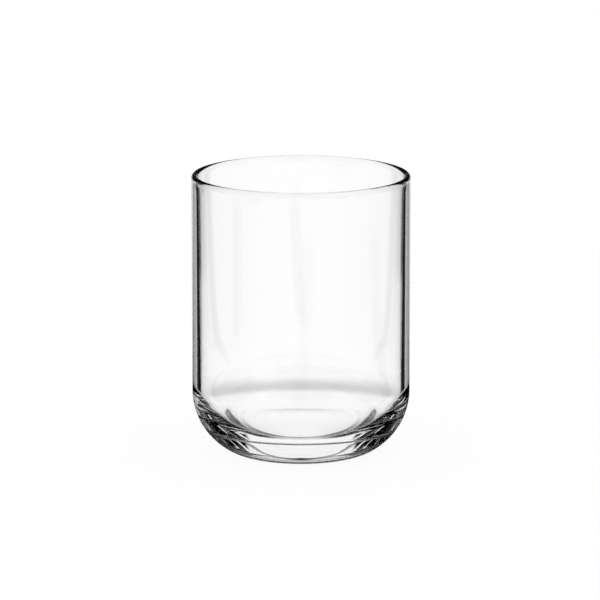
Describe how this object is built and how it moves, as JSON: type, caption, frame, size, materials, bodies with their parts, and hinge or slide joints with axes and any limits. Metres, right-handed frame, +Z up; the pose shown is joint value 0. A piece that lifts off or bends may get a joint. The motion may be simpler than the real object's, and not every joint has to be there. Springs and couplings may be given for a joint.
{
  "type": "drinking glass",
  "caption": "Straight-sided drinking glass with a rounded heavy base and a fire-polished rim, for cold drinks.",
  "frame": {"origin": "centre of the foot, on the surface that the glass stands on", "axes": "+Z up along the glass's own axis; X and Y level, with no preferred direction round the axis"},
  "size_m": [0.0752, 0.0752, 0.0965],
  "materials": {
    "clear_glass": "polished"
  },
  "bodies": {
    "root": {"tumbler": "clear_glass"}
  },
  "joints": []
}
